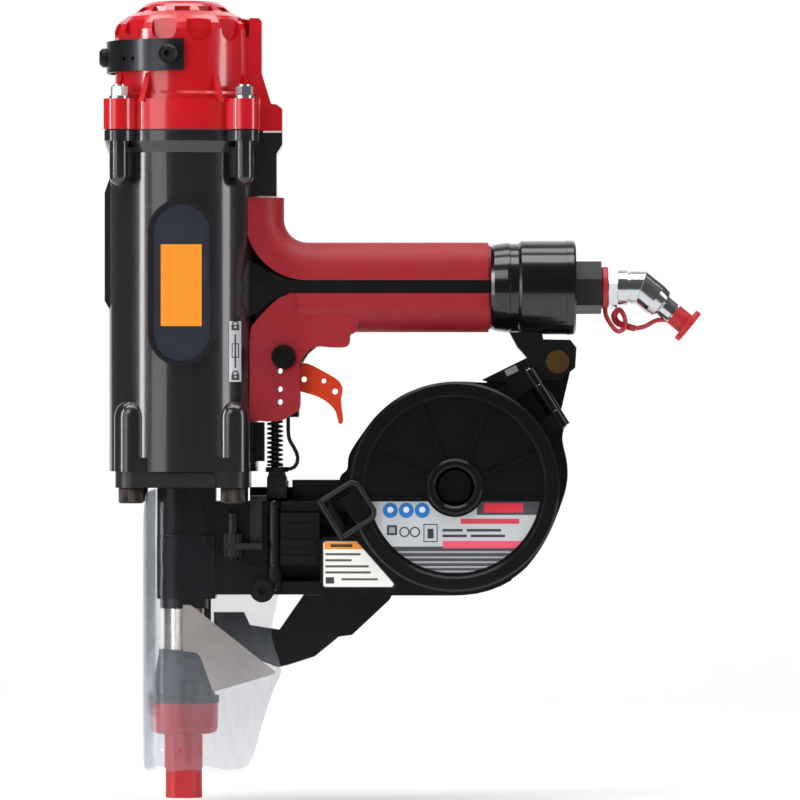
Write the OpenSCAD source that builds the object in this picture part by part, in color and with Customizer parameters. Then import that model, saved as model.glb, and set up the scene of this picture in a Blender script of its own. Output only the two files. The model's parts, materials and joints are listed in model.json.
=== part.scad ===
// Pneumatic coil nail gun with a clear nose shield and a swinging coil drum.
// Millimetres. Z is the drive axis, X runs along the handle, the nail exit is the origin.

/* [Body] */
// outer radius of the main housing
housing_r = 37.4; // [37:0.1:37.8]
// scallop pockets round the cap
pocket_n = 12; // [8:1:14]
// thickness of the exhaust deflector band
band_t = 1.5; // [1:0.1:2]
// inner radius of the cylinder sleeve
sleeve_in = 22; // [21.8:0.1:22.4]

/* [Handle] */
// width of the rubber grips
grip_w = 38; // [36:1:40]
// corner radius of the grips
grip_r = 14; // [10:1:15]
// outer radius of the handle end collar
collar_r = 23.4; // [23:0.1:23.8]
// width of the trigger
trigger_w = 17.2; // [16:0.2:17.6]

/* [Nose] */
// radius of the bore at the nail exit
exit_r = 4; // [3.8:0.1:4.4]
// radius of the contact cup
cup_r = 17; // [16.5:0.1:17.6]
// shield sheet thickness
shield_t = 0.8; // [0.6:0.1:1.2]

/* [Magazine] */
// outer radius of the drum
drum_r = 52; // [51.6:0.1:52.2]
// wall of the drum
drum_wall = 3; // [2:0.5:4]
// ribs on the cover above the label
rib_w = 2; // [1.5:0.5:3]

/* [Hidden] */
$fn = 48;
hx = 135.1;
hz = 155.6;
axis_z = 254.65;
lean = -32.1;
hinge_x = 180.6;
hinge_y = -12;
hinge_z = 199.25;

module box(a, b) { translate(a) cube(b - a); }
module cz(x, y, z0, z1, r) { translate([x, y, z0]) cylinder(r = r, h = z1 - z0); }
module cy(x, z, y0, y1, r) { translate([x, y0, z]) rotate([-90, 0, 0]) cylinder(r = r, h = y1 - y0); }
module cx(y, z, x0, x1, r) { translate([x0, y, z]) rotate([0, 90, 0]) cylinder(r = r, h = x1 - x0); }
module cone(x, z, y0, y1, r0, r1) { translate([x, y0, z]) rotate([-90, 0, 0]) cylinder(r1 = r0, r2 = r1, h = y1 - y0); }
module side(y0, y1) { translate([0, y1, 0]) rotate([90, 0, 0]) linear_extrude(y1 - y0) children(); }
module flat(z0, z1) { translate([0, 0, z0]) linear_extrude(z1 - z0) children(); }
module tilt(x, y, z) { translate([x, y, z]) rotate([0, lean, 0]) children(); }
module rrect(w, h, r) {
  square([w - 2 * r, h], center = true);
  square([w, h - 2 * r], center = true);
  for (i = [-1, 1], j = [-1, 1]) translate([i * (w / 2 - r), j * (h / 2 - r)]) circle(r);
}
module stadium(w, z0, z1) {
  translate([-w / 2, z0 + w / 2]) square([w, z1 - z0 - w]);
  translate([0, z0 + w / 2]) circle(w / 2);
  translate([0, z1 - w / 2]) circle(w / 2);
}
// rounded outline through a closed list of points
function spline(p, i, t) = let(n = len(p), a = p[(i + n - 1) % n], b = p[i], c = p[(i + 1) % n], d = p[(i + 2) % n])
  0.5 * (2 * b + (c - a) * t + (2 * a - 5 * b + 4 * c - d) * t * t + (3 * b - a - 3 * c + d) * t * t * t);
function smooth(p, k) = [for (i = [0 : len(p) - 1], j = [0 : k - 1]) spline(p, i, j / k)];
// outline of a bent wire of half thickness r
function side_step(p, i) = let(d = p[min(i + 1, len(p) - 1)] - p[max(i - 1, 0)]) [-d[1], d[0]] / norm(d);
function strip(p, r) = concat([for (i = [0 : len(p) - 1]) p[i] + side_step(p, i) * r],
  [for (i = [len(p) - 1 : -1 : 0]) p[i] - side_step(p, i) * r]);

module lobes(r) {
  circle(39.6);
  for (a = [45 : 90 : 315]) rotate(a) {
    translate([20, -r]) square([23.8, 2 * r]);
    translate([43.8, 0]) circle(r);
  }
}

module main_housing() color([0.30, 0.29, 0.31]) difference() {
  union() {
    cz(0, 0, 163, 324, housing_r);
    flat(326.6, 331.6) lobes(7.4);
    translate([0, 0, 321]) cylinder(r1 = housing_r, r2 = 39.6, h = 5.6);
    for (a = [45 : 90 : 315]) rotate(a) {
      translate([30, -4.5, 308.6]) cube([13.8, 9, 15]);
      cz(43.8, 0, 309, 327, 4.8);
      translate([43.8, 0, 309.2]) sphere(4.74);
      cz(35.7, 0, 163, 190, 8.4);
      translate([35.7, 0, 190.3]) sphere(8.32);
    }
    flat(163, 170) rrect(67, 67, 9.8);
    side(-14, 14) polygon([[28, 300], [46.6, 300], [46.6, 321], [49.4, 325.5], [49.4, 331.6], [28, 331.6]]);
    side(-6, 6) polygon([[-30, 232], [-39.4, 248], [-39.4, 302], [-37, 309], [-30, 309]]);
    side(-38.6, -20) stadium(33, 215.2, 297.8);
  }
  cz(0, 0, 172, 340, 31.6);
  cz(0, 0, 150, 173, 13);
  side(-40, -37.4) stadium(28.6, 217.4, 295.6);
  cx(0, axis_z, 20, 60, 12.4);
  for (a = [45 : 90 : 315]) rotate(a) {
    cz(43.8, 0, 314, 340, 2.55);
    cz(35.7, 0, 160, 184, 3.05);
  }
}

module cylinder_cap() color([0.80, 0.07, 0.10]) difference() {
  union() {
    flat(332.4, 347.5) lobes(7.8);
    rotate_extrude() polygon([[0, 340], [36, 340], [36, 350], [34.6, 351.5], [34.6, 382.5], [33.4, 385.6],
      [29.5, 389.4], [24, 392.2], [20, 395.6], [17.6, 397], [0, 397]]);
    side(-14, 14) polygon([[20, 332.4], [49.4, 332.4], [49.4, 343.5], [46.6, 345.6], [43.8, 346], [39.2, 361],
      [39.2, 387], [37.6, 388.6], [20, 388.6]]);
    for (a = [45 : 90 : 315], s = [-16, 16]) rotate(a + s)
      rotate([90, 0, 0]) translate([0, 0, -1.4]) linear_extrude(2.8) polygon([[30, 346], [41, 346], [34, 362], [30, 362]]);
  }
  difference() {
    for (i = [0 : pocket_n - 1]) rotate(i * 360 / pocket_n + 360 / pocket_n / 2) {
      cx(0, 382.4, 31.4, 46, 6.3);
      translate([31.4, -6.3, 382.4]) cube([12, 12.6, 9]);
    }
    box([33, -15, 360], [50, 15, 400]);
  }
  for (i = [0 : pocket_n - 1]) rotate(i * 360 / pocket_n) translate([20.6, -3.8, 391.6]) cube([12, 7.6, 2.6]);
  cz(0, 0, 320, 352, 30.6);
  cz(0, 0, 351, 382, 14);
  for (a = [45 : 90 : 315]) rotate(a) cz(43.8, 0, 320, 360, 2.8);
}

module cap_gasket() color([0.15, 0.15, 0.15]) difference() {
  flat(331.6, 332.4) lobes(6.8);
  cz(0, 0, 320, 340, 31.6);
  for (a = [45 : 90 : 315]) rotate(a) cz(43.8, 0, 320, 360, 2.8);
}

module cap_bolts() color([0.78, 0.80, 0.83]) for (a = [45 : 90 : 315]) rotate(a) translate([43.8, 0, 0]) {
  cz(0, 0, 347.5, 349, 4.9);
  translate([0, 0, 349]) cylinder(r = 4.4, h = 4.6, $fn = 6);
  cz(0, 0, 353.6, 354.6, 3.2);
  cz(0, 0, 316, 348, 2.5);
}

module exhaust_deflector() color([0.10, 0.10, 0.11]) difference() {
  translate([0, 0, 361.5]) rotate([0, 0, 88]) rotate_extrude(angle = 184)
    translate([37.2, 0]) square([band_t, 15.6]);
  for (a = [99, 180, 261]) rotate(a) cx(0, 369.5, 30, 50, 2.2);
  for (a = [221.5, 231.5]) rotate(a) cx(0, 367.6, 30, 50, 1.1);
}

module deflector_screws() color([0.09, 0.09, 0.10]) for (a = [99, 180, 261]) rotate(a) difference() {
  union() {
    cx(0, 369.5, 34.6, 39, 2.1);
    cx(0, 369.5, 37.25 + band_t, 40.6, 4.8);
    translate([40.6, 0, 369.5]) rotate([0, 90, 0]) cylinder(r1 = 4.8, r2 = 3.4, h = 1.6);
  }
  translate([40, 0, 369.5]) rotate([0, 90, 0]) cylinder(r = 1.9, h = 5, $fn = 6);
}

// half of the handle section: rounded on the outer side, flat at the seam
module half_section(w, h, r) intersection() {
  union() {
    translate([-w / 2, -1]) square([w, h - r + 1]);
    translate([-w / 2 + r, -1]) square([w - 2 * r, h + 1]);
    for (i = [-1, 1]) translate([i * (w / 2 - r), h - r]) circle(r);
  }
  translate([-w, 0]) square([2 * w, h + 1]);
}

module sight_holes(r) { for (z = [213, 203.9, 197.5]) cy(48.2, z, -30, 30, r); }

module core_shape(g) {
  cx(0, axis_z, 36, 153 + 4 * g, 16.8 + g);
  box([36 - g, -15.2 - g, 190], [57.4 + g, 15.2 + g, 252]);
  box([50, -12 - g, 227 - g], [80 + g, 12 + g, 250]);
}

module handle_core() color([0.07, 0.07, 0.08]) difference() {
  union() {
    core_shape(0);
    box([45, -grip_w / 2 + 0.8, 251.7], [153, grip_w / 2 - 0.8, 258.05]);
    side(-17.4, 17.4) polygon([[33, 239.5], [38, 243], [46, 249], [58, 251.7], [58, 258], [47, 258.05], [40, 264], [33, 268]]);
    side(-13, 13) polygon([[57, 213], [58.8, 216.5], [62, 221.5], [66.5, 225.2], [67, 230], [57, 230]]);
    cx(0, axis_z, 153, 160, 13.8);
  }
  cz(0, 0, 150, 320, housing_r);
  cx(0, axis_z, 30, 170, 11.6);
  box([38.6, -9.2, 199.4], [90, 9.2, 221.6]);
  box([51, -9.2, 180], [90, 9.2, 210]);
  cz(45.5, 0, 180, 194.6, 5);
  cz(45.5, 0, 190, 200, 2.5);
  cz(58.6, 0, 215, 246, 5.05);
  cy(50.2, 219.8, -20, 13, 3.05);
  cy(53.3, 209.5, -20, 20, 1.55);
  sight_holes(1.45);
}

module grip_upper() color([0.72, 0.15, 0.18]) difference() {
  union() {
    translate([62, 0, 258.1]) rotate([90, 0, 90]) linear_extrude(90) half_section(grip_w, 19, grip_r);
    translate([62, 0, 289.1]) rotate([-90, 0, 0]) rotate([0, 0, 90]) rotate_extrude(angle = 90)
      translate([31, 0]) rotate(90) half_section(grip_w, 19, grip_r);
    translate([31, 0, 289.1]) rotate([0, 0, -90]) linear_extrude(10.2) half_section(grip_w, 19, grip_r);
    translate([152, 0, 258.1]) rotate([90, 0, 90]) linear_extrude(1.2) half_section(grip_w - 3, 17.5, grip_r - 1.5);
  }
  cz(0, 0, 150, 340, housing_r + 0.05);
  side(-14.1, 14.1) polygon([[20, 299.9], [60, 299.9], [60, 340], [20, 340]]);
  cx(0, axis_z, 20, 160, 16.85);
  side(-17.5, 17.5) polygon([[33, 239.4], [58, 251.6], [58, 258.1], [47, 258.15], [40, 264.1], [33, 268.2]]);
}

module grip_lower() color([0.72, 0.15, 0.18]) difference() {
  union() {
    translate([57, 0, 251.6]) rotate([90, 180, 90]) linear_extrude(95.2) half_section(grip_w, 19.2, grip_r);
    translate([152, 0, 251.6]) rotate([90, 180, 90]) linear_extrude(1.2) half_section(grip_w - 3, 17.7, grip_r - 1.5);
    intersection() {
      side(-20, 20) polygon(smooth([[58, 251.6], [50.5, 250.2], [46, 247.7], [37, 238.5], [33.5, 231.5], [33.3, 210],
        [33.3, 189.4], [38, 188.2], [45, 187.8], [50, 188.8], [55, 191.6], [57.8, 194.6], [58, 205], [58, 214],
        [59, 217.8], [62, 222.4], [66.5, 225.2], [73, 224.9], [80.5, 225], [82.8, 227.4], [83.2, 231], [86, 233.5],
        [86, 244]], 4));
      flat(180, 255) translate([59, 0]) rrect(60, 36, 5);
    }
  }
  cz(0, 0, 150, 340, housing_r + 0.05);
  core_shape(0.06);
  side(-17.5, 17.5) polygon([[33, 239.4], [38, 242.9], [46, 248.9], [58, 251.6], [58, 258], [33, 268]]);
  side(-13.1, 13.1) polygon([[56, 212.8], [58.9, 216.2], [62.2, 221.3], [66.8, 225], [67, 230], [56, 230]]);
  box([51, -9.2, 180], [90, 9.2, 221.6]);
  cz(45.5, 0, 180, 194, 5);
  cy(50.2, 219.8, -20, 0, 3.05);
  cy(50.2, 219.8, -20, -17.2, 6.3);
  sight_holes(1.45);
}

module handle_collar() color([0.05, 0.05, 0.06]) translate([0, 0, axis_z]) rotate([0, 90, 0]) rotate_extrude()
  polygon([[17, 153.4], [20.6, 153.4], [21.6, 155], [collar_r - 0.9, 161.6], [collar_r - 0.9, 162.6],
    [collar_r - 1.4, 163], [collar_r - 1.4, 167], [collar_r - 0.9, 167.4], [collar_r, 168.6], [collar_r, 190.9],
    [17, 190.9], [17, 162], [14, 161], [14, 153.4]]);

module end_cap() color([0.06, 0.06, 0.07]) translate([0, 0, axis_z]) rotate([0, 90, 0]) rotate_extrude()
  polygon([[8, 184], [16.9, 184], [16.9, 191], [collar_r + 0.2, 191], [collar_r + 0.2, 194.6],
    [collar_r - 0.8, 195.6], [8, 195.6]]);

module air_filter() color([0.6, 0.6, 0.58]) translate([0, 0, axis_z]) rotate([0, 90, 0]) difference() {
  translate([0, 0, 163]) cylinder(r = 12, h = 20.6);
  translate([0, 0, 162]) cylinder(r = 9, h = 20);
}

module inlet_bushing() color([0.09, 0.09, 0.10]) translate([0, 0, axis_z]) rotate([0, 90, 0]) difference() {
  union() {
    translate([0, 0, 195.7]) rotate(12) cylinder(r = 13.4, h = 12.9, $fn = 6);
    translate([0, 0, 186]) cylinder(r = 7.95, h = 10);
  }
  translate([0, 0, 180]) cylinder(r = 5, h = 40);
}

module plug_base() color([0.72, 0.74, 0.76]) translate([0, 0, axis_z]) rotate([0, 90, 0]) difference() {
  union() {
    translate([0, 0, 212.2]) rotate(20) cylinder(r = 11.4, h = 4.2, $fn = 6);
    translate([0, 0, 208.7]) cylinder(r = 7, h = 4);
    translate([0, 0, 216]) cylinder(r = 5.4, h = 6);
    translate([0, 0, 199]) cylinder(r = 4.9, h = 10);
  }
  translate([0, 0, 190]) cylinder(r = 3, h = 50);
}

module swivel_body() color([0.74, 0.76, 0.78]) difference() {
  union() {
    cx(0, axis_z, 216.8, 221.6, 8.7);
    cx(0, axis_z, 221.6, 223, 7.6);
    cx(0, axis_z, 223, 242, 8.2);
  }
  cx(0, axis_z, 210, 224, 5.45);
  cx(0, axis_z, 210, 226, 3);
  translate([228.3, 0, axis_z]) rotate([0, 19.5, 0]) box([0, -20, -30], [40, 20, 30]);
}

module swivel_elbow() color([0.74, 0.76, 0.78]) intersection() {
  translate([228.4, 0, axis_z]) rotate([0, 39, 0]) rotate([0, 90, 0]) rotate_extrude()
    polygon([[0, -12], [8.2, -12], [8.2, 9], [7.4, 13], [5.4, 14.4], [5.4, 20], [4.1, 20.4], [4.1, 27.4], [3.4, 28.2], [0, 28.2]]);
  translate([228.6, 0, axis_z]) rotate([0, 19.5, 0]) box([0, -20, -40], [60, 20, 40]);
}

module dust_cap() color([0.70, 0.10, 0.15]) translate([228.4, 0, axis_z]) rotate([0, 39, 0]) rotate([0, 90, 0]) rotate_extrude()
  polygon([[4.15, 21], [5.4, 21], [5.4, 28.6], [8.7, 28.8], [8.9, 30], [8.7, 31.6], [0, 31.8], [0, 28.8], [4.15, 28.5]]);

module cap_strap() color([0.70, 0.10, 0.15]) {
  difference() {
    union() {
      cx(0, axis_z, 208.9, 211.9, 10.5);
      box([208.9, -2.2, 238], [211.9, 2.2, 246]);
    }
    cx(0, axis_z, 200, 220, 7.35);
  }
}

module cylinder_sleeve() color([0.62, 0.64, 0.66]) difference() {
  union() {
    cz(0, 0, 172, 316, sleeve_in + 2.6);
    cz(0, 0, 309, 314, 31.5);
    cz(0, 0, 172, 176, 31.5);
  }
  cz(0, 0, 160, 320, sleeve_in);
  for (a = [0 : 45 : 315]) rotate(a) cx(0, 212, 15, 40, 1.8);
}

module bumper() color([0.10, 0.10, 0.10]) difference() {
  union() {
    cz(0, 0, 172.1, 182, 21.6);
    cz(0, 0, 182, 190, 17);
    cz(0, 0, 163.1, 172.1, 12.9);
  }
  cz(0, 0, 160, 200, 3.2);
}

module nose_flange() color([0.16, 0.16, 0.17]) difference() {
  union() {
    flat(155, 163) rrect(66.4, 66.4, 9.6);
    side(-34.4, -30) polygon([[-17, 160.5], [-12, 162.4], [12, 162.4], [16.5, 160.5], [16.5, 155.4], [-17, 155.4]]);
  }
  cz(0, 0, 150, 170, 3.1);
  for (a = [45 : 90 : 315]) rotate(a) cz(35.7, 0, 150, 170, 3.1);
}

module nose_bolts() color([0.14, 0.13, 0.12]) for (a = [45 : 90 : 315]) rotate(a) translate([35.7, 0, 0]) difference() {
  union() {
    cz(0, 0, 147.3, 155, 6.3);
    cz(0, 0, 154, 182, 3);
  }
  translate([0, 0, 147]) cylinder(r = 2.9, h = 5, $fn = 6);
}

module nose_block() color([0.08, 0.08, 0.09]) difference() {
  union() {
    box([-13, -13, 99.5], [16, 13, 131]);
    box([-13, -10, 131], [16, 10, 155]);
    cz(0, 0, 94.5, 100, 12);
  }
  cz(0, 0, 110, 156, 3.1);
  cz(0, 0, 99.4, 112, 3.6);
  cz(0, 0, 90, 100, 10.05);
  box([0, -4, 108], [20, 4, 143]);
}

module nose_tube() color([0.70, 0.68, 0.66]) difference() {
  cz(0, 0, 50, 99.4, 10);
  cz(0, 0, 40, 110, 3.6);
}

module feed_channel() color([0.08, 0.08, 0.09]) difference() {
  union() {
    box([16.1, 6, 101.5], [82, 14, 148]);
    box([16.1, -10, 143], [82, 14, 148]);
    box([16.1, -10, 101.5], [82, 14, 108]);
    box([16.1, -10, 101.5], [42, -6, 148]);
    box([54, 6, 147], [82, 14, 158.5]);
    box([54, 13, 132], [62, 18, 148]);
    box([32.5, 17, 130], [62, 19, 154.8]);
    cy(39.5, 103.9, -19.7, 19.7, 6);
    for (z = [[104, 116], [143, 148]]) cz(45.6, -13.4, z[0], z[1], 3);
    for (z = [[104, 108], [143, 148]]) box([42.6, -13.4, z[0]], [48.6, -8, z[1]]);
  }
  cy(39.5, 103.9, -30, -9, 2.6);
  cy(39.5, 103.9, 12, 30, 2.6);
  cz(45.6, -13.4, 100, 150, 1.4);
  box([52.6, 0, 122.6], [69, 20, 131.6]);
}

module feed_cylinder() color([0.08, 0.08, 0.09]) difference() {
  union() {
    cx(24, 127, 67, 86, 8.4);
    box([71, 14, 120.5], [81, 22, 133.5]);
  }
  cx(24, 127, 68.4, 84.6, 6.06);
  cx(24, 127, 60, 70, 2.06);
}

module shield_side() { polygon(smooth([[-20.6, 131.5], [-20.9, 104], [-20.6, 60], [-20.3, 18], [-14, 14.6], [-5, 14],
  [4, 14.8], [13, 14], [20, 12.4], [26, 12.6], [31.4, 15.2], [35, 22], [38.6, 35], [44, 52], [48.8, 65], [44, 82],
  [46.6, 98], [49, 112.6], [38, 115.6], [27, 118.4], [18.6, 121.2], [12.4, 127], [10.8, 138], [10, 150], [7.2, 154.4],
  [0, 154.6], [-12, 154.4], [-18, 152.4], [-19.6, 146]], 4)); }

module shield() color([0.80, 0.86, 0.92, 0.35]) difference() {
  intersection() {
    side(-30, 30) shield_side();
    difference() {
      union() { cz(0, 0, 5, 160, 20.6); box([0, -20.6, 5], [60, 20.6, 160]); }
      cz(0, 0, 0, 170, 20.6 - shield_t);
      box([0, -20.6 + shield_t, 0], [70, 20.6 - shield_t, 170]);
    }
  }
  cy(39.5, 103.9, -30, 30, 2.7);
  for (x = [-10.3, -1.1, 8.9]) cy(x, 24.5, -30, 0, 0.9);
}

module shield_bolts() color([0.09, 0.09, 0.10]) for (s = [0, 180]) translate([39.5, 0, 103.9]) rotate([0, 0, s]) difference() {
  union() {
    cy(0, 0, -24.2, -20.65, 5.1);
    cy(0, 0, -21, -13, 2.5);
  }
  translate([0, -24.3, 0]) rotate([-90, 0, 0]) cylinder(r = 2.3, h = 2.4, $fn = 6);
}

module magazine_bracket() color([0.08, 0.08, 0.09]) difference() {
  side(-8, 8) polygon([[160.5, 236], [162.5, 232.7], [166.6, 225], [171.4, 219.6], [149, 208.6], [150.4, 207.9],
    [160, 207.1], [168, 206.2], [174, 208.2], [188, 208.6], [195.4, 214.6], [196, 224.6], [193, 228.5], [179.5, 228.8], [178, 236]]);
  cx(0, axis_z, 140, 220, collar_r + 0.25);
  cy(186.6, 217.6, -20, 20, 4.45);
}

module magazine_pin() color([0.42, 0.33, 0.20]) {
  cy(186.6, 217.6, -9.4, 15.6, 4.4);
  cy(186.6, 217.6, -9.6, -8.05, 5.85);
  cy(186.6, 217.6, 14.05, 15.6, 5.85);
}

module drum_outline() { polygon(smooth([[92, 101.7], [135, 101.7], [150, 103.3], [160, 107], [171, 115], [180, 127.5],
  [186.5, 141.5], [191, 155.5], [191.4, 166.5], [189, 178.5], [189.6, 187], [184, 197], [172, 204], [160, 206.4],
  [148, 207.3], [130, 207.4], [112, 202.4], [98, 192.6], [88, 180], [82.6, 171], [81.6, 164], [78, 159.6], [78, 148],
  [78, 128], [78, 105.5], [79, 102.6], [82, 101.7]], 4)); }

module magazine_body() color([0.07, 0.07, 0.08]) {
  difference() {
    union() {
      side(-8, 10) drum_outline();
      cy(hx, hz, 9, 34, drum_r);
      tilt(hinge_x, hinge_y, hinge_z) {
        box([-12, 4.2, -7.4], [4, 20, 7.4]);
        box([-3.3, -1, -7.4], [3.3, 8, 7.4]);
        cz(0, 0, -7.4, 7.4, 3.6);
      }
      side(8.3, 14) polygon([[150, 203], [188, 190], [193.6, 214], [192, 221.5], [186.6, 224.6], [181, 221.5], [152, 209]]);
    }
    cy(hx, hz, -20, 31, drum_r - drum_wall);
    box([70, -6, 108], [110, 6, 143]);
    box([70, -20, 100], [82.05, 14.05, 148.05]);
    box([70, 5.95, 140], [82.05, 14.05, 158.55]);
    tilt(hinge_x, hinge_y, hinge_z) {
      cz(0, 0, -20, 20, 1.55);
      for (s = [-12.2, 12.2]) box([-20, -6, s - 4.8], [6, 4.1, s + 4.8]);
    }
    cy(186.6, 217.6, -20, 20, 4.45);
  }
  cy(hx, hz, -25, 31.1, 8.2);
}

module magazine_cover() color([0.07, 0.07, 0.08]) difference() {
  union() {
    cy(hx, hz, -32.8, -8.4, drum_r);
    cone(hx, hz, -34, -32.8, drum_r - 1.2, drum_r);
    cy(hx, hz, -34.6, -30, 13.9);
    cone(hx, hz, -35.8, -34.6, 12.7, 13.9);
    side(-30, -16) polygon([[70, 101.7], [68.9, 102.2], [68.4, 103.4], [68.4, 128.6], [68.9, 129.8], [70.4, 130.4],
      [80, 131.4], [88, 134.5], [98, 136], [118, 130], [134, 116], [156, 112], [163.5, 109.4], [158, 106.4], [152, 104.1],
      [146, 102.6], [140, 101.9], [134, 101.7]]);
    tilt(85.85, -31, 145.85) box([-4.6, -3.5, -6.5], [4.2, 16, 6.5]);
    tilt(75.5, -29, 140.5) {
      box([-3, 3.9, -12], [3, 7, 9.4]);
      for (s = [-12, 7]) box([-3, -2.6, s], [3, 4, s < 0 ? -7 : 9.4]);
    }
    tilt(hinge_x, hinge_y, hinge_z) for (s = [-12.2, 12.2]) {
      cz(0, 0, s - 4.4, s + 4.4, 3.6);
      box([-20, -3.3, s - 4.4], [0, 0.4, s + 4.4]);
    }
  }
  cy(hx, hz, -29.4, 0, drum_r - drum_wall);
  difference() {
    union() {
      cy(hx, hz, -32.8, -31, 44.3);
      cone(hx, hz, -34.1, -32.7, 45.7, 44.3);
    }
    cy(hx, hz, -41, -30, 13.9);
    for (a = [22.5, 67.5, 112.5, 157.5]) translate([hx, 0, hz]) rotate([0, -a, 0]) box([5, -33.4, -rib_w / 2], [46, -30, rib_w / 2]);
    box([hx - 46, -33.4, 148.8], [hx + 46, -30, 150.4]);
  }
  cy(hx, hz, -40, 0, 9.65);
  cone(hx, hz, -35.9, -34.7, 10.9, 9.65);
  tilt(75.5, -29, 140.5) cz(0, 0, -10, 10, 1.45);
  tilt(hinge_x, hinge_y, hinge_z) cz(0, 0, -20, 20, 1.55);
}

module hinge_pins() color([0.6, 0.6, 0.62]) {
  tilt(hinge_x, hinge_y, hinge_z) cz(0, 0, -17.4, 17.4, 1.5);
  cz(45.6, -13.4, 103.6, 148.4, 1.35);
}

module coil_platform() color([0.55, 0.56, 0.58]) difference() {
  cy(hx, hz, 24, 27, 46);
  cy(hx, hz, 20, 30, 8.6);
  for (a = [0 : 60 : 300]) translate([hx, 0, hz]) rotate([0, a, 0]) cy(28, 0, 20, 30, 7);
}

module valve_body() color([0.70, 0.60, 0.35]) difference() {
  cz(58.6, 0, 223.4, 242.8, 5);
  cz(58.6, 0, 226, 240.5, 4.06);
  cz(58.6, 0, 220, 250, 1.46);
}

module valve_stem() color([0.75, 0.76, 0.78]) {
  cz(58.6, 0, 213.7, 232, 1.4);
  cz(58.6, 0, 230, 234, 4);
}

module trigger_pin() color([0.5, 0.5, 0.52]) cy(53.3, 209.5, -15.1, 15.1, 1.5);

module trigger_shape() { polygon(smooth([[58.3, 216.1], [60.5, 216.9], [63.75, 216], [70.65, 212.35], [76.4, 208.9],
  [78.7, 206], [79.25, 203.15], [78.55, 198], [79.5, 189.2], [79.2, 187.2], [78.3, 186.5], [77.2, 187.6], [75.8, 192.8],
  [72.35, 196.85], [66.6, 200.3], [58.3, 202.8], [53.6, 204.6], [50.6, 207], [50, 210.6], [51.6, 213.2], [55, 214.8]], 4)); }

module trigger() color([0.92, 0.34, 0.12]) difference() {
  side(-trigger_w / 2, trigger_w / 2) trigger_shape();
  side(-5.4, 5.4) polygon([[45, 206.4], [58.4, 205.2], [66.6, 203], [72.2, 199.8], [74, 204], [73.4, 209.6], [74.4, 214], [60, 220], [45, 220]]);
  cy(53.3, 209.5, -20, 20, 1.55);
  cy(60.1, 208.8, -20, 20, 1.45);
  cy(69.95, 208, -20, 20, 1.25);
  cy(75.6, 202.7, -20, 20, 1.5);
}

module trigger_lever() color([0.62, 0.63, 0.65]) {
  side(-4.4, 4.4) polygon([[54.6, 212.2], [73, 209.5], [73, 211.2], [54.6, 213.2]]);
}

module lock_dial() color([0.06, 0.06, 0.07]) {
  cy(50.2, 219.8, -19.6, 12.9, 3);
  difference() {
    cy(50.2, 219.8, -21.6, -17.5, 5.75);
    difference() {
      cy(50.2, 219.8, -22, -20.8, 4.6);
      box([49.4, -23, 215], [51, -20, 225]);
    }
  }
}

module arm_guide() color([0.08, 0.08, 0.09]) difference() {
  box([33, -8, 168], [40.3, 8, 187.4]);
  cz(0, 0, 160, 200, housing_r + 0.05);
  cz(35.7 * cos(45), 35.7 * sin(45), 150, 220, 8.5);
  cz(35.7 * cos(45), -35.7 * sin(45), 150, 220, 8.5);
}

module lower_guard() color([0.06, 0.06, 0.07]) {
  side(-3, 3) polygon([[15, 92.5], [30, 92.5], [33, 86], [47.7, 83.75], [59.75, 101.1], [104, 101.1], [102.8, 98.65],
    [84, 81.15], [77.5, 80.3], [65.5, 70.5], [52.25, 66.2], [47, 65], [30, 71.5], [15, 77]]);
  side(-8, 8) polygon([[60, 101.1], [90, 101.1], [88, 97], [62, 97]]);
}

module name_plate() color([0.18, 0.20, 0.25]) side(-37.9, -37.45) stadium(28.2, 217.6, 295.4);

module lock_label() color([0.78, 0.79, 0.80]) translate([0, 0, 207.5]) rotate([0, 0, -51.5])
  rotate_extrude(angle = 12.5) translate([housing_r + 0.02, 0]) square([0.22, 30]);

module nose_door() color([0.08, 0.08, 0.09]) difference() {
  union() {
    cz(45.6, -13.4, 116.2, 142.8, 3);
    box([45.6, -14.2, 116.2], [67.9, -10.4, 142.4]);
    for (z = [118, 126, 134]) box([50, -16, z], [66, -13, z + 3]);
  }
  cz(45.6, -13.4, 100, 150, 1.4);
}

module latch_lever() color([0.09, 0.09, 0.10]) tilt(75.5, -29, 140.5) {
  cz(0, 0, -6.6, 6.6, 3.4);
  cz(0, 0, -9.4, 9.4, 1.4);
  box([-3.6, -3.4, -6.6], [0, -0.4, 6.6]);
}

module latch_wire() color([0.14, 0.14, 0.15]) tilt(75.5, -36.4, 140.5) {
  side(-1.3, 1.3) polygon(strip([[-2, -10.2], [14.6, -10.2], [16.6, -9.6], [18, -8.2], [18.6, -6.2], [18.6, 6.2], [18, 8.2],
    [16.6, 9.6], [14.6, 10.2], [-2, 10.2]], 1.3));
  box([-3.3, -1.3, -11.5], [-0.7, 1.3, 11.5]);
  box([-4, -1.2, -5.6], [0, 4, 5.6]);
}

module contact_tip() color([0.72, 0.13, 0.16]) difference() {
  union() {
    intersection() {
      flat(0, 33) rrect(18, 17.4, 2.4);
      cz(-0.2, 0, 0, 40, 9.6);
    }
    cz(-0.2, 0, 14.5, 34, 9.5);
    rotate_extrude() polygon([[0, 32], [cup_r - 3, 32], [cup_r - 0.8, 33], [cup_r, 35.4], [cup_r, 47.4], [0, 47.4]]);
  }
  cz(0, 0, -1, 40, exit_r);
  cz(0, 0, 36, 50, 10.5);
}

module tip_holder() color([0.28, 0.29, 0.31]) difference() {
  union() {
    cz(0, 0, 47.4, 51, cup_r + 0.6);
    cz(0, 0, 50.8, 58, 15.4);
    translate([0, 0, 58]) cylinder(r1 = 15.4, r2 = 12.6, h = 14);
    cz(0, 0, 72, 74, 12.6);
    box([-3, -13.4, 58], [9, 13.4, 70]);
  }
  cz(0, 0, 40, 80, 10.4);
}

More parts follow.
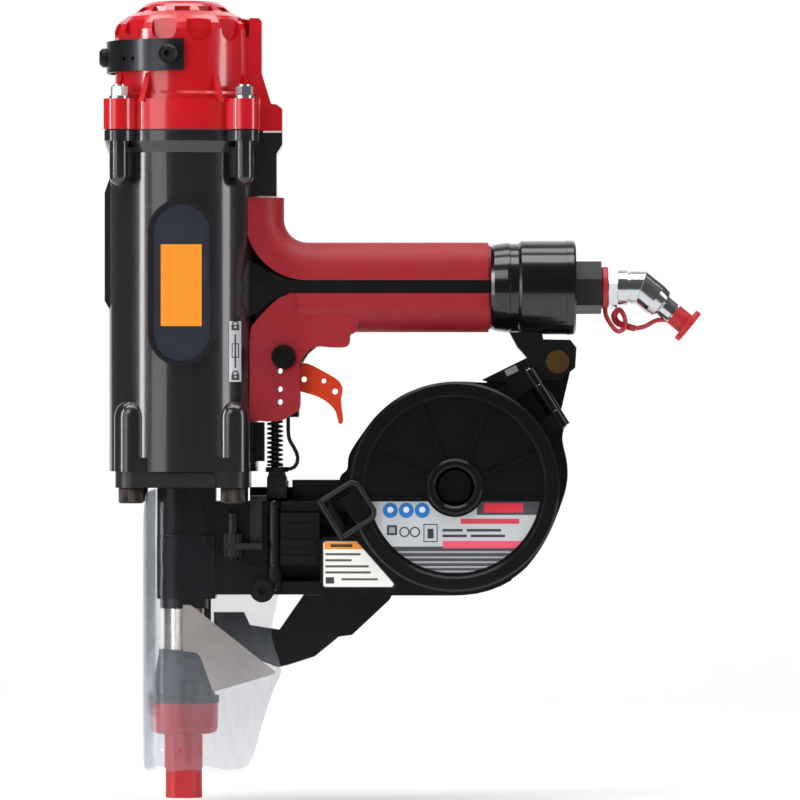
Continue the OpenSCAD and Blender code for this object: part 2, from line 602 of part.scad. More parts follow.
module contact_plate() color([0.74, 0.72, 0.70]) difference() {
  side(-15, -13.45) polygon([[0, 96.5], [3.8, 96.5], [5, 95.6], [46, 63.2], [45.6, 62.2], [15.8, 53.5],
    [14.8, 53.8], [9.4, 69], [8.4, 71.2], [6.6, 72.8], [0, 73.6]]);
  cy(4, 64, -20, -10, 1);
}

module contact_arm() color([0.20, 0.20, 0.21]) {
  side(14.7, 16.4) polygon([[3, 60.2], [9, 60.2], [13, 64], [13, 116], [52, 116], [52, 158], [41.4, 158], [41.4, 127], [3, 127]]);
  box([5, 13.45, 63.8], [9, 14.8, 69]);
  box([33.4, -14.6, 124.3], [39.4, -11.4, 150.8]);
  box([33.4, -14.6, 148.2], [41.6, -2, 150.8]);
  difference() {
    box([20.6, -19.6, 124.3], [39.4, -11.4, 127.4]);
    cz(24.8, -15.5, 120, 130, 2.46);
  }
  cy(36.6, 131.4, -15.6, -14.5, 2);
}

wire_path = [[51, 164], [53.4, 164.1], [55.4, 165.2], [56.6, 167.2], [56.9, 169.6], [56.3, 172.2], [54.6, 175.4],
  [53, 178], [52.3, 180.4], [52.1, 184], [52.1, 190]];

module arm_pedestal() color([0.09, 0.09, 0.10]) {
  cz(46.5, 0, 162.5, 165, 5.7);
  box([41.6, -6, 149.6], [51.4, 14.65, 160]);
  side(-5, 5) polygon([[41.6, 159], [51.4, 159], [50.4, 163], [42.6, 163]]);
  cz(45.5, 0, 164, 195.6, 1.9);
  side(-0.95, 0.95) polygon(strip(wire_path, 0.95));
}

module depth_dial() color([0.10, 0.10, 0.11]) translate([24.8, -15.5, 0]) {
  cz(0, 0, 119, 142, 2.4);
  difference() {
    union() {
      cz(0, 0, 127.5, 132, 4.7);
      cz(0, 0, 120.6, 124.2, 4.7);
    }
    for (a = [0 : 30 : 330]) rotate(a) cz(5.1, 0, 119, 135, 0.9);
  }
}

module contact_spring() color([0.10, 0.10, 0.11]) difference() {
  cz(45.5, 0, 165.05, 194.5, 4.2);
  cz(45.5, 0, 160, 200, 2.5);
}

module head_valve_spring() color([0.5, 0.5, 0.52]) difference() {
  cz(0, 0, 336.05, 351.95, 26);
  cz(0, 0, 330, 360, 22);
}

module piston() color([0.66, 0.67, 0.69]) difference() {
  cz(0, 0, 296, 308, sleeve_in - 0.4);
  difference() {
    cz(0, 0, 300.4, 304.6, sleeve_in);
    cz(0, 0, 300, 305, sleeve_in - 2.4);
  }
  cz(0, 0, 290, 305, 2.6);
  cz(0, 0, 305, 310, 14);
}

module piston_ring() color([0.08, 0.08, 0.08]) difference() {
  cz(0, 0, 300.6, 304.4, sleeve_in - 0.05);
  cz(0, 0, 290, 310, sleeve_in - 2.35);
}

module driver_blade() color([0.70, 0.71, 0.73]) cz(0, 0, 112.5, 304.9, 2.55);

module head_valve() color([0.20, 0.20, 0.21]) difference() {
  union() {
    cz(0, 0, 316.4, 320, 28);
    cz(0, 0, 320, 336, 30.2);
  }
  cz(0, 0, 310, 340, 17);
}

module feed_piston() color([0.66, 0.67, 0.69]) {
  cx(24, 127, 69, 73, 6);
  cx(24, 127, 57, 70, 2);
  difference() {
    box([53.4, -2, 124.4], [57.2, 27, 129.6]);
    box([53, -3, 120], [54.8, 3, 140]);
  }
}

main_housing();
cylinder_cap();
cap_gasket();
cap_bolts();
exhaust_deflector();
deflector_screws();
handle_core();
grip_upper();
grip_lower();
handle_collar();
end_cap();
air_filter();
inlet_bushing();
cylinder_sleeve();
bumper();
nose_flange();
nose_bolts();
nose_block();
nose_tube();
feed_channel();
feed_cylinder();
shield();
shield_bolts();
magazine_bracket();
magazine_pin();
magazine_body();
valve_body();
trigger_pin();
arm_guide();
lower_guard();
name_plate();
lock_label();
hinge_pins();
plug_base();
head_valve_spring();
contact_spring();
piston();
driver_blade();
piston_ring();
head_valve();
trigger();
trigger_lever();
valve_stem();
lock_dial();
contact_tip();
tip_holder();
contact_plate();
contact_arm();
arm_pedestal();
depth_dial();
feed_piston();
nose_door();
magazine_cover();
latch_lever();
latch_wire();
coil_platform();
swivel_body();
swivel_elbow();
dust_cap();
cap_strap();
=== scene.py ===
import json
import math

import bmesh
import bpy
from mathutils import Matrix, Vector


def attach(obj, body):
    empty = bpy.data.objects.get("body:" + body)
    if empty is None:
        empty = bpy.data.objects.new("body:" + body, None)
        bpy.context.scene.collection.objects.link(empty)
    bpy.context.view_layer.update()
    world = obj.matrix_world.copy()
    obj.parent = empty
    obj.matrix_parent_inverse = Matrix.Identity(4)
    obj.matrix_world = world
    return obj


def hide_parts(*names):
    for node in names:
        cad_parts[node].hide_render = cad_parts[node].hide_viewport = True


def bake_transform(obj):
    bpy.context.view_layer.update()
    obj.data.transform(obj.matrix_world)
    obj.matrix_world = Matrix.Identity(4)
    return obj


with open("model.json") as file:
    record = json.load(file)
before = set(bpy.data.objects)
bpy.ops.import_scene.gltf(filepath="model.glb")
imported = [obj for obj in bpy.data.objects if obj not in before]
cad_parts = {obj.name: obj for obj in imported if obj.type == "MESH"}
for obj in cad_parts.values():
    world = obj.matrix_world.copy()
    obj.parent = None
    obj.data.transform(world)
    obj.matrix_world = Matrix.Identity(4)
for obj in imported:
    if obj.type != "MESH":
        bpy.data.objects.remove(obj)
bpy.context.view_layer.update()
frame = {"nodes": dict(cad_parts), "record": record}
MM = 0.001
FLECK_MM = 0.16


# ---------- colours and materials ----------
def srgb(text):
    """A hex colour as the linear colour that a shader takes."""
    def lin(c):
        return c / 12.92 if c <= 0.04045 else ((c + 0.055) / 1.055) ** 2.4
    return tuple(lin(int(text[i:i + 2], 16) / 255) for i in (0, 2, 4)) + (1.0,)


def put(tree, kind, links=None, **settings):
    """One node with its settings and links."""
    node = tree.nodes.new(kind)
    values = settings.pop("values", {})
    for name, value in settings.items():
        setattr(node, name, value)
    for name, value in values.items():
        node.inputs[name].default_value = value
    for name, source in (links or {}).items():
        tree.links.new(source, node.inputs[name])
    return node


def calc(tree, operation, first, second):
    """A sum of two sockets, or of a socket and a number."""
    node = put(tree, "ShaderNodeMath", operation=operation)
    for socket, value in zip(node.inputs, (first, second)):
        if isinstance(value, (int, float)):
            socket.default_value = value
        else:
            tree.links.new(value, socket)
    return node.outputs[0]


def ramp(tree, source, stops):
    """A blend through (place, colour or grey) stops."""
    node = put(tree, "ShaderNodeValToRGB", {"Fac": source})
    band = node.color_ramp
    while len(band.elements) < len(stops):
        band.elements.new(0.5)
    for element, (place, colour) in zip(band.elements, stops):
        element.position = place
        element.color = colour if isinstance(colour, tuple) else (colour, colour, colour, 1)
    return node.outputs["Color"]


def noise(tree, place, size_mm, detail=3.0, stretch=None):
    """Noise whose lumps are size_mm across."""
    if stretch:
        place = put(tree, "ShaderNodeMapping", {"Vector": place}, values={"Scale": stretch}).outputs["Vector"]
    return put(tree, "ShaderNodeTexNoise", {"Vector": place},
               values={"Scale": 1.0 / (size_mm * MM), "Detail": detail, "Roughness": 0.55}).outputs["Fac"]


def material(name, colour, rough, metal=0.0, coat=0.0, grain_mm=0.6, grain=0.12, wear_mm=18.0, wear=0.10,
             rough_spread=0.10, stretch=None, spec=0.5, extra=None, coat_rough=0.08, **more):
    """A surface with fine grain, slow tone variation and uneven sheen."""
    mat = bpy.data.materials.new(name)
    mat.use_nodes = True
    tree = mat.node_tree
    shader = tree.nodes["Principled BSDF"]
    place = put(tree, "ShaderNodeTexCoord").outputs["Object"]
    base = srgb(colour)
    slow = noise(tree, place, wear_mm, 2.0)
    dark = tuple(c * (1 - wear) for c in base[:3]) + (1,)
    light = tuple(min(1, c * (1 + wear) + 0.004 * wear) for c in base[:3]) + (1,)
    tone = ramp(tree, slow, [(0.3, dark), (0.7, light)])
    if extra:
        tone = extra(tree, place, tone)
    tree.links.new(tone, shader.inputs["Base Color"])
    fine = noise(tree, place, grain_mm, 4.0, stretch)
    rough_map = put(tree, "ShaderNodeMapRange", {"Value": noise(tree, place, wear_mm * 0.4, 3.0)},
                    values={"From Min": 0.3, "From Max": 0.7,
                            "To Min": max(0.02, rough - rough_spread * rough),
                            "To Max": min(1.0, rough + rough_spread * rough)})
    tree.links.new(rough_map.outputs["Result"], shader.inputs["Roughness"])
    bump = put(tree, "ShaderNodeBump", {"Height": fine}, values={"Strength": grain, "Distance": 0.0002})
    tree.links.new(bump.outputs["Normal"], shader.inputs["Normal"])
    shader.inputs["Metallic"].default_value = metal
    shader.inputs["Specular IOR Level"].default_value = spec
    shader.inputs["Coat Weight"].default_value = coat
    shader.inputs["Coat Roughness"].default_value = coat_rough
    for key, value in more.items():
        shader.inputs[key.replace("_", " ")].default_value = value
    return mat


def metallic_paint(name, colour, fleck, rough, coat):
    """Paint with fine metal flecks under a clear coat."""
    def flecks(tree, place, tone):
        cells = put(tree, "ShaderNodeTexVoronoi", {"Vector": place}, values={"Scale": 1.0 / (FLECK_MM * MM)})
        grey = put(tree, "ShaderNodeSeparateColor", {"Color": cells.outputs["Color"]}).outputs["Red"]
        mask = ramp(tree, grey, [(0.75, 0.0), (1.0, 0.45)])
        return over(tree, mask, tone, fleck)
    return material(name, colour, rough, metal=0.6, coat=coat, grain_mm=2.4, grain=0.04, wear=0.05,
                    wear_mm=30.0, extra=flecks)


def block(tree, place, box):
    """1 inside an upright rectangle of the XZ plane, in mm."""
    axes = put(tree, "ShaderNodeSeparateXYZ", {"Vector": place}).outputs
    x0, z0, x1, z1 = [v * MM for v in box]
    mask = calc(tree, "GREATER_THAN", axes["X"], x0)
    for axis, test, edge in (("X", "LESS_THAN", x1), ("Z", "GREATER_THAN", z0), ("Z", "LESS_THAN", z1)):
        mask = calc(tree, "MULTIPLY", mask, calc(tree, test, axes[axis], edge))
    return mask


def disc(tree, place, x, z, radius, hole=0.0):
    """1 inside a disc or ring of the XZ plane, in mm."""
    axes = put(tree, "ShaderNodeSeparateXYZ", {"Vector": place}).outputs
    flat = put(tree, "ShaderNodeCombineXYZ", {"X": axes["X"], "Y": axes["Z"]}).outputs[0]
    gap = put(tree, "ShaderNodeVectorMath", {0: flat}, operation="DISTANCE",
              values={1: (x * MM, z * MM, 0)}).outputs["Value"]
    mask = calc(tree, "LESS_THAN", gap, radius * MM)
    if hole:
        mask = calc(tree, "MULTIPLY", mask, calc(tree, "GREATER_THAN", gap, hole * MM))
    return mask


def over(tree, mask, below, colour):
    """A colour laid over what is below it, where the mask is 1."""
    mix = put(tree, "ShaderNodeMix", {"Factor": mask}, data_type="RGBA")
    tree.links.new(below, mix.inputs["A"])
    mix.inputs["B"].default_value = srgb(colour)
    return mix.outputs["Result"]


def blocks(tree, place, tone, boxes, colour):
    """Rectangles of one colour."""
    for box in boxes:
        tone = over(tree, block(tree, place, box), tone, colour)
    return tone


def lock_print(tree, place, tone):
    """Two small padlock shapes, a capsule and a stem, all without words."""
    ink, paper, middle = "34363a", "c3c6ca", 26.4
    for z in (234.6, 210.0):
        tone = over(tree, disc(tree, place, middle, z + 1.4, 1.7, 1.0), tone, ink)
        tone = over(tree, block(tree, place, (middle - 1.9, z - 1.6, middle + 1.9, z + 1.2)), tone, ink)
        tone = over(tree, disc(tree, place, middle, z, 0.6), tone, paper)
    tone = over(tree, block(tree, place, (middle - 1.8, 219.4, middle + 1.8, 226.6)), tone, ink)
    tone = over(tree, block(tree, place, (middle - 1.3, 219.9, middle + 1.3, 226.1)), tone, paper)
    return over(tree, block(tree, place, (middle - 0.4, 214.4, middle + 0.4, 231.0)), tone, ink)


def plate_print(tree, place, tone):
    """A plain orange panel with a dark edge."""
    tone = over(tree, block(tree, place, (-10.6, 234.4, 10.6, 276.0)), tone, "1c2027")
    return over(tree, block(tree, place, (-10.1, 235.0, 10.1, 275.4)), tone, "e88f22")


FINISH = {
    "housing": metallic_paint("Metallic dark grey paint", "29262a", "605c64", 0.25, 0.75),
    "cap_red": material("Glossy red paint on die cast alloy", "bf0c19", 0.24, coat=0.8, grain_mm=2.0,
                        grain=0.05, wear=0.05),
    "gasket": material("Matt black rubber", "1a1a1a", 0.75, grain=0.3),
    "zinc": material("Bright zinc plate", "c4c8ce", 0.28, metal=1.0, grain_mm=0.4, grain=0.10, wear=0.10),
    "band_steel": material("Black coated spring steel", "26282b", 0.30, metal=0.7, coat=0.2, grain=0.06,
                           wear=0.15, stretch=(0.06, 0.06, 1)),
    "black_screw": material("Black oxide screw", "211f1e", 0.35, metal=0.7, grain_mm=0.4, grain=0.15,
                            wear=0.2),
    "core_black": material("Black glass filled nylon", "09090a", 0.34, grain_mm=0.5, grain=0.12, spec=0.3),
    "grip_rubber": material("Matt red soft rubber", "931621", 0.50, grain_mm=0.45, grain=0.25, wear=0.05,
                            rough_spread=0.12, spec=0.38),
    "collar_black": material("Gloss black paint", "08080a", 0.20, coat=0.5, grain_mm=1.4, grain=0.05,
                             spec=0.4),
    "filter_steel": material("Woven filter steel", "8d8c86", 0.45, metal=1.0, grain_mm=0.3, grain=0.6),
    "black_steel": material("Black oxide steel", "1b1a1a", 0.40, metal=0.5, grain_mm=0.4, grain=0.15,
                            wear=0.2),
    "sleeve_alloy": material("Honed alloy", "b9bcc0", 0.3, metal=1.0, grain_mm=0.3, grain=0.1),
    "bumper_rubber": material("Black bumper rubber", "171717", 0.7, grain=0.3),
    "flange_dark": material("Dark grey cast alloy", "29282b", 0.36, metal=0.45, grain_mm=0.9, grain=0.16,
                            wear=0.12),
    "bolt_oxide": material("Worn black oxide bolt", "3d3835", 0.40, metal=0.8, grain_mm=0.35, grain=0.35,
                           wear=0.25),
    "nose_dark": material("Black coated nose steel", "121317", 0.34, metal=0.3, grain_mm=0.8, grain=0.10,
                          wear=0.15, spec=0.35),
    "bright_steel": material("Ground steel", "c2bdb8", 0.26, metal=1.0, grain_mm=0.3, grain=0.12,
                             stretch=(1, 1, 0.05)),
    "black_plastic": material("Black nylon moulding", "09090a", 0.36, grain_mm=0.6, grain=0.12, wear=0.15,
                              spec=0.28),
    "pin_bronze": material("Oiled bronze", "7a6038", 0.34, metal=1.0, grain_mm=0.4, grain=0.15, wear=0.2),
    "drum_plastic": material("Satin black ABS", "060607", 0.25, grain_mm=1.2, grain=0.02, wear=0.1,
                             spec=0.36, rough_spread=0.04),
    "valve_brass": material("Turned brass", "c0a055", 0.3, metal=1.0, grain=0.1),
    "plate_print": material("Printed name plate", "222733", 0.32, coat=0.3, grain_mm=1.0, grain=0.04,
                            extra=plate_print),
    "label_silver": material("Silver printed film", "c3c6ca", 0.36, metal=0.25, grain_mm=1.0, grain=0.04,
                             extra=lock_print),
    "plug_steel": material("Nickel plated steel", "c6c9cc", 0.17, metal=1.0, grain_mm=0.5, grain=0.06,
                           wear=0.06),
    "spring_steel": material("Bright spring steel", "9a9a9e", 0.3, metal=1.0),
    "spring_black": material("Black spring wire", "151516", 0.35, metal=0.5, grain_mm=0.3, grain=0.1),
    "piston_alloy": material("Turned alloy", "b9bcc0", 0.3, metal=1.0, grain_mm=0.3, grain=0.1),
    "trigger_orange": material("Satin orange nylon", "e03d0c", 0.36, grain_mm=0.6, grain=0.12, wear=0.05,
                               Subsurface_Weight=0.08, Subsurface_Radius=(0.004, 0.0015, 0.001)),
    "dial_black": material("Gloss black plastic", "0c0c0d", 0.22, grain_mm=1.0, grain=0.05),
    "tip_red": material("Satin red urethane", "c01f27", 0.40, grain_mm=0.7, grain=0.14, wear=0.07),
    "holder_grey": material("Dark grey painted steel", "35383e", 0.42, metal=0.3, grain_mm=0.7, grain=0.2),
    "plate_steel": material("Stamped satin steel", "cbc2ba", 0.42, metal=0.85, grain_mm=0.5, grain=0.22,
                            wear=0.12, stretch=(1, 1, 0.2)),
    "arm_steel": material("Black coated link steel", "252527", 0.4, metal=0.4, grain=0.2, wear=0.2),
    "latch_black": material("Black latch nylon", "0e0e10", 0.38, grain_mm=0.5, grain=0.15, spec=0.35),
    "wire_black": material("Black coated wire", "1c1c1e", 0.32, metal=0.4, grain=0.1),
    "platform_alloy": material("Pressed alloy", "8f9196", 0.4, metal=0.9, grain=0.2),
    "cap_rubber": material("Satin red cap rubber", "b01c28", 0.42, grain_mm=0.5, grain=0.15, wear=0.06),
}


def clear_sheet():
    """Thin clear polycarbonate: faint grey body, bright glancing edges, and a milky haze from scuff noise that
    a painted reflection veil makes much stronger towards the tip.
    """
    mat = bpy.data.materials.new("Clear polycarbonate sheet")
    mat.use_nodes = True
    tree = mat.node_tree
    tree.nodes.remove(tree.nodes["Principled BSDF"])
    out = tree.nodes["Material Output"]
    place = put(tree, "ShaderNodeTexCoord").outputs["Object"]
    bump = put(tree, "ShaderNodeBump", {"Height": noise(tree, place, 22.0, 2.0)},
               values={"Strength": 0.25, "Distance": 0.002})
    clear = put(tree, "ShaderNodeBsdfTransparent", values={"Color": (0.925, 0.925, 0.93, 1)})
    gloss = put(tree, "ShaderNodeBsdfGlossy", {"Normal": bump.outputs["Normal"]},
                values={"Color": (0.92, 0.95, 1, 1), "Roughness": 0.14})
    haze = put(tree, "ShaderNodeBsdfDiffuse", values={"Color": (0.70, 0.75, 0.84, 1)})
    edge = put(tree, "ShaderNodeLayerWeight", {"Normal": bump.outputs["Normal"]}, values={"Blend": 0.28})
    scuff = put(tree, "ShaderNodeMapRange", {"Value": noise(tree, place, 3.0, 5.0, (1, 1, 0.2))},
                values={"From Min": 0.3, "From Max": 0.8, "To Min": 0.045, "To Max": 0.11})
    # Milky haze: random scuff noise, plus a painted reflection veil that lifts the haze strongly below 65 to
    # 95 mm, over the tip.
    height = put(tree, "ShaderNodeSeparateXYZ", {"Vector": place}).outputs["Z"]
    low = put(tree, "ShaderNodeMapRange", {"Value": height},
              values={"From Min": 0.065, "From Max": 0.095, "To Min": 1.0, "To Max": 0.05})
    scuff_and_painted_veil = calc(tree, "MULTIPLY", scuff.outputs["Result"], low.outputs["Result"])
    first = put(tree, "ShaderNodeMixShader", {"Fac": scuff_and_painted_veil, 1: clear.outputs[0], 2: haze.outputs[0]})
    amount = put(tree, "ShaderNodeMapRange", {"Value": edge.outputs["Fresnel"]},
                 values={"From Min": 0.025, "From Max": 1.0, "To Min": 0.004, "To Max": 0.65})
    last = put(tree, "ShaderNodeMixShader",
               {"Fac": amount.outputs["Result"], 1: first.outputs[0], 2: gloss.outputs[0]})
    tree.links.new(last.outputs[0], out.inputs["Surface"])
    return mat


FINISH["clear_sheet"] = clear_sheet()
for part in frame["record"]["subparts"]:
    thing = frame["nodes"][part["node"]]
    for place in thing.material_slots:
        place.material = FINISH[part["material_slot"]]


# ---------- shapes ----------
def piece(name, bm, mat, body, smooth=True):
    """A finished piece from a bmesh, riding on its body. A piece that bends has no body yet."""
    mesh = bpy.data.meshes.new(name)
    bmesh.ops.recalc_face_normals(bm, faces=bm.faces)
    bm.to_mesh(mesh)
    bm.free()
    mesh.materials.append(mat)
    if smooth:
        mesh.polygons.foreach_set("use_smooth", [True] * len(mesh.polygons))
        mesh.set_sharp_from_angle(angle=math.radians(35))
    thing = bpy.data.objects.new(name, mesh)
    bpy.context.scene.collection.objects.link(thing)
    if body:
        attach(thing, body)
    return thing


def tube(path, radius, sides=14, closed=False, wide=None):
    """A round, or oval, wire along a list of points in metres."""
    bm = bmesh.new()
    points = [Vector(p) for p in path]
    count = len(points)
    rings = []
    side = None
    for i, p in enumerate(points):
        if closed:
            way = points[(i + 1) % count] - points[i - 1]
        else:
            way = points[min(i + 1, count - 1)] - points[max(i - 1, 0)]
        way.normalize()
        if side is None:
            side = way.cross(Vector((0, 1, 0.01))).normalized()
        side = (side - way * side.dot(way)).normalized()
        up = way.cross(side)
        rings.append([bm.verts.new(p + side * (radius * math.cos(a)) + up * ((wide or radius) * math.sin(a)))
                      for a in (2 * math.pi * k / sides for k in range(sides))])
    pairs = list(zip(rings, rings[1:])) + ([(rings[-1], rings[0])] if closed else [])
    for a, b in pairs:
        for k in range(sides):
            bm.faces.new((a[k], a[(k + 1) % sides], b[(k + 1) % sides], b[k]))
    if not closed:
        bm.faces.new(rings[0])
        bm.faces.new(list(reversed(rings[-1])))
    return bm


def spline(points, steps=10):
    """A smooth open path through points."""
    pts = [Vector(p) for p in points]
    pts = [pts[0] * 2 - pts[1]] + pts + [pts[-1] * 2 - pts[-2]]
    out = []
    for i in range(1, len(pts) - 2):
        a, b, c, d = pts[i - 1:i + 3]
        for s in range(steps):
            t = s / steps
            curve = (2 * a - 5 * b + 4 * c - d) * t * t + (3 * b - a - 3 * c + d) * t ** 3
            out.append(0.5 * (2 * b + (c - a) * t + curve))
    return out + [pts[-2]]


def coil(x, y, z0, z1, radius, wire, turns):
    """An upright coil spring with closed ends, in metres."""
    steps = 26
    path = []
    flat = 0.9
    total = turns + 2 * flat
    for i in range(int(total * steps) + 1):
        t = i / steps
        rise = min(max((t - flat) / turns, 0.0), 1.0)
        lift = min(t, flat) / flat * wire
        drop = max(0.0, t - (total - flat)) / flat * wire
        z = z0 + wire + lift + (z1 - z0 - 4 * wire) * rise + drop
        a = 2 * math.pi * t
        path.append((x + radius * math.cos(a), y + radius * math.sin(a), z))
    return tube(path, wire, 10)


def springs():
    """The two coils that shorten as their bodies move."""
    x = 0.0455
    contact = piece("contact_spring_coil", coil(x, 0, 0.1651, 0.1944, 0.0036, 0.00055, 11.5),
                    FINISH["spring_black"], None)
    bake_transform(contact)
    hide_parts("contact_spring")
    head = piece("head_valve_coil", coil(0, 0, 0.3362, 0.3518, 0.0242, 0.0012, 3),
                 FINISH["spring_steel"], None)
    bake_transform(head)
    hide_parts("head_valve_spring")


springs()


def slab(name, outline, y0, y1, mat, body):
    """A flat piece cut to an outline of the XZ plane, in mm, between two depths."""
    bm = bmesh.new()
    front = [bm.verts.new((x * MM, y0 * MM, z * MM)) for x, z in outline]
    face = bm.faces.new(front)
    grown = bmesh.ops.extrude_face_region(bm, geom=[face])["geom"]
    back = [v for v in grown if isinstance(v, bmesh.types.BMVert)]
    bmesh.ops.translate(bm, vec=(0, (y1 - y0) * MM, 0), verts=back)
    bmesh.ops.triangulate(bm, faces=[f for f in bm.faces if len(f.verts) > 4])
    return piece(name, bm, mat, body, smooth=False)


def arc(cx, cz, r, a0, a1, steps=40):
    """Points along an arc, from angle a0 to a1 in degrees."""
    angles = [math.radians(a0 + (a1 - a0) * k / steps) for k in range(steps + 1)]
    return [(cx + r * math.cos(a), cz + r * math.sin(a)) for a in angles]


def rounded(points, radius, steps=4):
    """A closed outline with its corners rounded."""
    out = []
    n = len(points)
    for i, p in enumerate(points):
        p, a, b = Vector(p), Vector(points[i - 1]), Vector(points[(i + 1) % n])
        u, v = (a - p).normalized(), (b - p).normalized()
        half = u.angle(v) / 2
        cut = min(radius / math.tan(half), (a - p).length / 2, (b - p).length / 2)
        r = cut * math.tan(half)
        middle = p + (u + v).normalized() * (r / math.sin(half))
        first, last = p + u * cut - middle, p + v * cut - middle
        turn = first.angle_signed(last)
        for k in range(steps + 1):
            c, s = math.cos(-turn * k / steps), math.sin(-turn * k / steps)
            out.append((middle.x + first.x * c - first.y * s, middle.y + first.x * s + first.y * c))
    return out


def rating_print(tree, place, tone):
    """Silver upper part, dark lower part, blue discs and plain bars."""
    dark, ink, silver = "4a4c53", "3c3e44", "c3c6ca"
    tone = blocks(tree, place, tone, [(80, 100, 190, 126.0), (146, 141.6, 190, 150)], dark)
    for box, red in (((149.5, 142.8, 169, 147.4), "e0364a"), ((138, 137.2, 167, 139.8), "d8475a"),
                     ((129.2, 125.2, 172, 128.8), "ee5c72")):
        tone = over(tree, block(tree, place, box), tone, red)
    for x in (103.2, 111.1, 119.0):
        tone = over(tree, disc(tree, place, x, 143.9, 3.75), tone, "2a78c2")
        tone = over(tree, disc(tree, place, x, 144.2, 1.5), tone, "e9f0f6")
    for box, colour in (((101.5, 131.6, 106.6, 136.6), ink), ((102.6, 132.7, 105.5, 135.5), "9fa3a8"),
                        ((119.6, 128.2, 126.6, 137.2), ink), ((120.1, 128.7, 126.1, 136.7), silver),
                        ((121.6, 130.0, 124.6, 134.8), ink)):
        tone = over(tree, block(tree, place, box), tone, colour)
    for x in (110.2, 115.4):
        tone = over(tree, disc(tree, place, x, 133.2, 2.6, 1.9), tone, ink)
    bars = ((133.4, 129, 139), (133.4, 141, 158), (130.6, 129, 141), (130.6, 143, 160))
    tone = blocks(tree, place, tone, [(x0, z, x1, z + 1.3) for z, x0, x1 in bars], ink)
    lines = ((122.8, 106, 163), (120.2, 110, 160), (117.8, 112, 158), (115.4, 118, 152), (113.2, 122, 148))
    return blocks(tree, place, tone, [(x0, z, x1, z + 0.9) for z, x0, x1 in lines], "a9abb0")


def warning_print(tree, place, tone):
    """White field with an orange head and plain bars."""
    tone = over(tree, block(tree, place, (70.6, 124.6, 89.4, 128.2)), tone, "f0902a")
    tone = over(tree, block(tree, place, (73.6, 125.7, 84.4, 127.1)), tone, "33302c")
    lines = ((121.6, 71, 88.5), (118.6, 71, 84), (115.6, 71, 92.5), (112.6, 71, 93.5), (109.2, 79, 97))
    tone = blocks(tree, place, tone, [(x0, z, x1, z + 1.1) for z, x0, x1 in lines], "55534f")
    return over(tree, block(tree, place, (71.2, 107.6, 75.4, 110.8)), tone, "3a3835")


def rating_label():
    """The lower part of the cover's disc, cut round the hub."""
    film = material("Rating label film", "c6c9cd", 0.34, metal=0.15, coat=0.3, grain_mm=1.0, grain=0.03,
                    wear=0.03, extra=rating_print)
    x, z = 135.1, 155.6
    top = 148.3
    edge, hub = 42.8, 15.0
    a, b = [math.degrees(math.asin((top - z) / r)) for r in (edge, hub)]
    outline = arc(x, z, edge, 180 - a, 360 + a, 70)
    outline += arc(x, z, hub, 360 + b, 180 - b, 24)
    slab("rating_label", outline, -31.25, -31.03, film, "cover")


def warning_label():
    """A white label on a dark rim, with one slanting side."""
    film = material("Warning label film", "f1efec", 0.4, coat=0.2, grain_mm=1.0, grain=0.03, wear=0.02,
                    extra=warning_print)
    rim = material("Warning label rim", "2b2a29", 0.45, grain=0.05)
    outer = [(69.5, 105.4), (69.5, 129.0), (86.8, 129.0), (107.6, 105.4)]
    inner = [(70.1, 106.0), (70.1, 128.4), (86.5, 128.4), (106.3, 106.0)]
    slab("warning_label_rim", rounded(outer, 1.6), -30.14, -30.02, rim, "cover")
    slab("warning_label", rounded(inner, 1.2), -30.22, -30.14, film, "cover")


def foil_tag():
    """A small bright tag on the magazine bracket."""
    foil = material("Small foil tag", "c9ccd0", 0.3, metal=0.8, grain=0.05)
    x, z = 163.6, 213.1
    turn = math.radians(-26)
    c, s = math.cos(turn), math.sin(turn)
    corners = ((-3.2, -1.6), (3.2, -1.6), (3.2, 1.6), (-3.2, 1.6))
    slab("foil_tag", [(x + u * c + v * s, z - u * s + v * c) for u, v in corners], -8.2, -8.02, foil,
         "tool")


rating_label()
warning_label()
foil_tag()


def ribbon(name, route, red):
    """One oval length of the strap, along a route in mm."""
    path = [Vector(p) * MM for p in spline(route, 8)]
    return piece(name, tube(path, 0.00115, 12, wide=0.0017), red, None)


def strap():
    """The dust cap's strap: a band round the plug, a loop to the elbow and a tail to the cap."""
    red = FINISH["cap_rubber"]
    bm = bmesh.new()
    along, height = 210.4, 254.65
    rings = []
    count = 64
    section = [(7.4, -1.3), (7.4, 1.3), (7.8, 1.55), (10.0, 1.55), (10.5, 1.1), (10.5, -1.1), (10.0, -1.55),
               (7.8, -1.55)]
    for k in range(count):
        a = 2 * math.pi * k / count
        c, s = math.cos(a), math.sin(a)
        rings.append([bm.verts.new(((along + h) * MM, r * s * MM, (height + r * c) * MM)) for r, h in section])
    for a, b in zip(rings, rings[1:] + rings[:1]):
        for k in range(len(section)):
            bm.faces.new((a[k], a[(k + 1) % len(section)], b[(k + 1) % len(section)], b[k]))
    band = piece("strap_band", bm, red, "swivel")
    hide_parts("cap_strap")
    loop = [(210.6, 0, 246), (210.9, -1.2, 241), (213.4, -2.4, 236.2), (216.8, -2.6, 232.8),
            (220.2, -2.2, 234.6), (220.3, -1.2, 239.6), (217.8, 0, 243.6), (215.2, 1.2, 241.0),
            (216.6, 1.8, 237.4), (220.8, 1.2, 235.6), (225.7, 0, 234.2)]
    tail = [(225.7, 0, 234.2), (230.6, 0, 235.4), (236.0, 0, 238.2), (241.4, 0, 238.6)]
    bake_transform(ribbon("strap_loop", loop, red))
    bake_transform(ribbon("strap_tail", tail, red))


strap()


